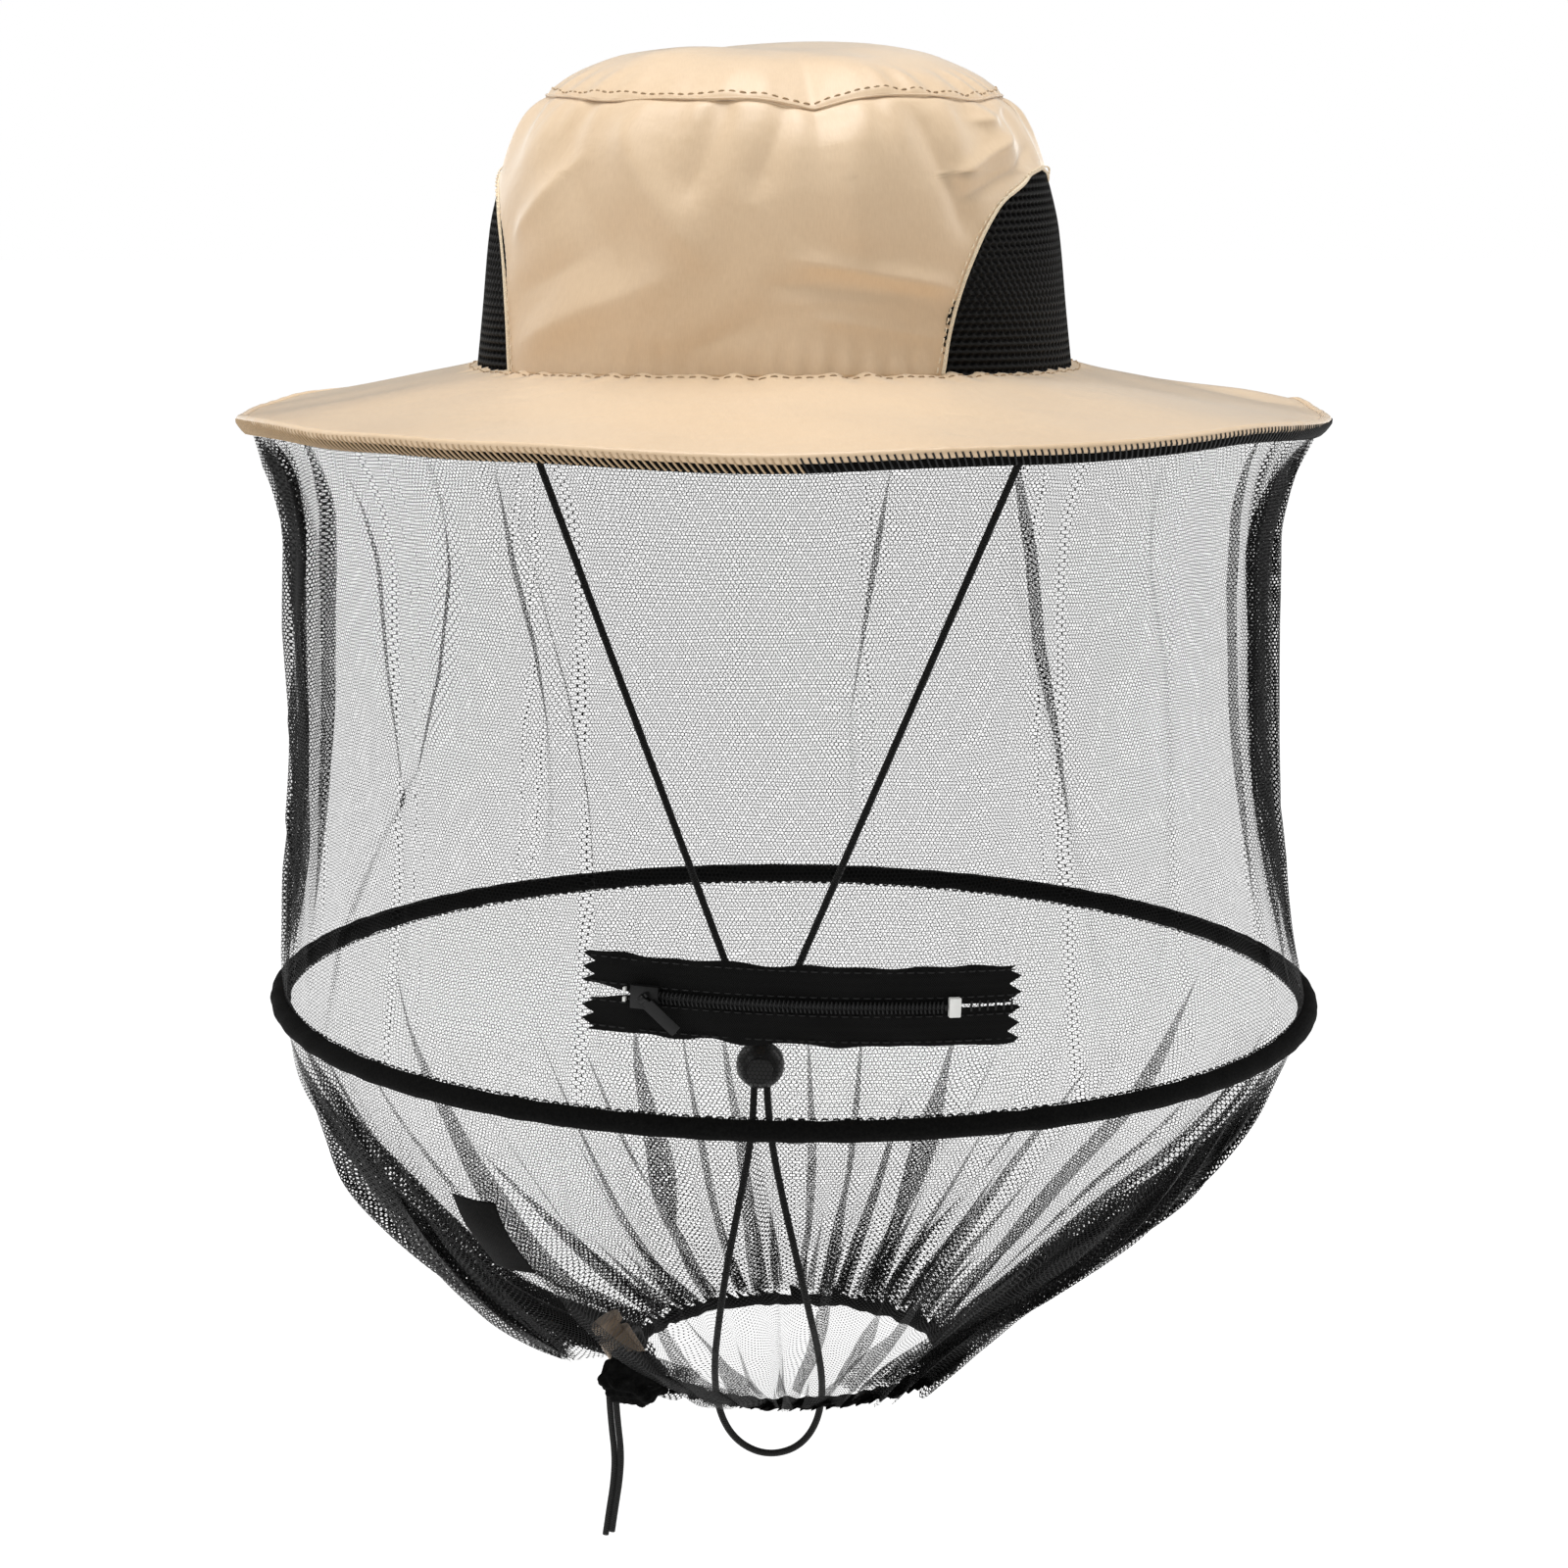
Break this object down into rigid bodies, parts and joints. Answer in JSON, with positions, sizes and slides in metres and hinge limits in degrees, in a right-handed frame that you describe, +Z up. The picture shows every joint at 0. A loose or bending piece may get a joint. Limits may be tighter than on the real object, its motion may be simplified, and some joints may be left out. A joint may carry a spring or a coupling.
{
  "type": "beekeeping hat with veil",
  "caption": "Wide-brimmed sun hat with mesh cheeks and a hooped tulle veil, with a zipped slit, a chin cord and a drawcord neck.",
  "frame": {"origin": "centre of the head opening, at the seam between crown and brim", "axes": "+Z up through the crown, -Y towards the front of the veil (zip side), +X to the wearer's left"},
  "size_m": [0.3771, 0.376, 0.5193],
  "materials": {
    "tan_cloth": "tightly woven polyester with a satin sheen, top-stitched",
    "cream_piping": "folded cloth piping with stitches",
    "spacer_mesh": "knitted spacer mesh",
    "black_cloth": "plain woven polyester",
    "foam": "thin foam sheet",
    "overlock_thread": "overlock thread",
    "tulle": "hexagonal tulle net",
    "spring_steel": "drawn spring wire",
    "ferrule_metal": "crimped sleeve",
    "zip_tape": "herringbone woven tape with pinked ends",
    "zip_coil": "nylon coil",
    "zip_metal": "black enamel",
    "white_plastic": "moulded",
    "black_cord": "braided round elastic cord",
    "black_plastic": "moulded, semi-gloss",
    "tan_plastic": "moulded, satin"
  },
  "bodies": {
    "hat": {"crown_top_panel": "tan_cloth", "crown_front_panel": "tan_cloth", "crown_rear_panel": "tan_cloth", "side_mesh_left": "spacer_mesh", "side_mesh_right": "spacer_mesh", "panel_piping_left": "cream_piping", "panel_piping_right": "cream_piping", "crown_top_piping": "cream_piping", "sweatband": "black_cloth", "brim_top_cloth": "tan_cloth", "brim_foam": "foam", "brim_under_cloth": "black_cloth", "brim_binding": "tan_cloth", "brim_wire": "spring_steel", "overlock_seam": "overlock_thread", "veil_net_upper": "tulle", "chin_anchor_left": "black_cloth", "chin_anchor_right": "black_cloth", "chin_cord_left": "black_cord", "chin_cord_right": "black_cord", "chin_cord_loop": "black_cord"},
    "veil_hoop": {"hoop_sleeve": "black_cloth", "hoop_wire": "spring_steel", "hoop_ferrule": "ferrule_metal", "veil_net_lower": "tulle", "care_patch": "black_cloth", "zip_tape_upper": "zip_tape", "zip_tape_lower": "zip_tape", "zip_coil_upper": "zip_coil", "zip_coil_lower": "zip_coil", "zip_bottom_stop": "white_plastic", "zip_top_stops": "white_plastic", "zip_end_stitches": "overlock_thread"},
    "slider": {"zip_slider": "zip_metal"},
    "pull": {"zip_pull": "zip_metal"},
    "neck": {"neck_hem": "black_cloth", "neck_drawcord": "black_cord", "neck_cord_tail_a": "black_cord", "neck_cord_tail_b": "black_cord", "neck_cord_tab": "black_cloth"},
    "neck_lock": {"neck_lock_barrel": "tan_plastic", "neck_lock_spring": "spring_steel"},
    "neck_plunger": {"neck_lock_plunger": "tan_plastic"},
    "chin_lock": {"chin_lock_ball": "black_plastic", "chin_lock_spring": "spring_steel"},
    "chin_button": {"chin_lock_button": "black_plastic"}
  },
  "joints": [
    {"name": "hoop_lift", "type": "slide", "parent": "hat", "child": "veil_hoop", "axis": [0, 0, 1], "range_m": [0, 0.13], "deforming": ["veil_net_upper"]},
    {"name": "neck_lift", "type": "slide", "parent": "veil_hoop", "child": "neck", "axis": [0, 0, 1], "range_m": [0, 0.08], "deforming": ["veil_net_lower"]},
    {"name": "slider_travel", "type": "hinge", "parent": "veil_hoop", "child": "slider", "pos_m": [0.0069, 0, -0.181], "axis": [0.0384, 0, 0.9993], "range_deg": [0, 28]},
    {"name": "pull_swing", "type": "hinge", "parent": "slider", "child": "pull", "pos_m": [-0.0402, -0.18096, -0.17919], "axis": [-0.6384, 0.1586, -0.7532], "range_deg": [0, 150]},
    {"name": "neck_lock_slide", "type": "slide", "parent": "neck", "child": "neck_lock", "axis": [-0.1523, -0.9843, -0.0891], "range_m": [-0.006, 0.006]},
    {"name": "neck_plunger_press", "type": "slide", "parent": "neck_lock", "child": "neck_plunger", "axis": [0.5148, -0.002, -0.8573], "range_m": [0, 0.003], "stiffness_N_per_m": 400, "deforming": ["neck_lock_spring"]},
    {"name": "chin_lock_slide", "type": "slide", "parent": "hat", "child": "chin_lock", "axis": [0, 0, 1], "range_m": [-0.05, 0.06], "deforming": ["chin_cord_left", "chin_cord_right", "chin_cord_loop"]},
    {"name": "chin_button_press", "type": "slide", "parent": "chin_lock", "child": "chin_button", "axis": [0, 1, 0], "range_m": [0, 0.0024], "stiffness_N_per_m": 400, "deforming": ["chin_lock_spring"]}
  ]
}
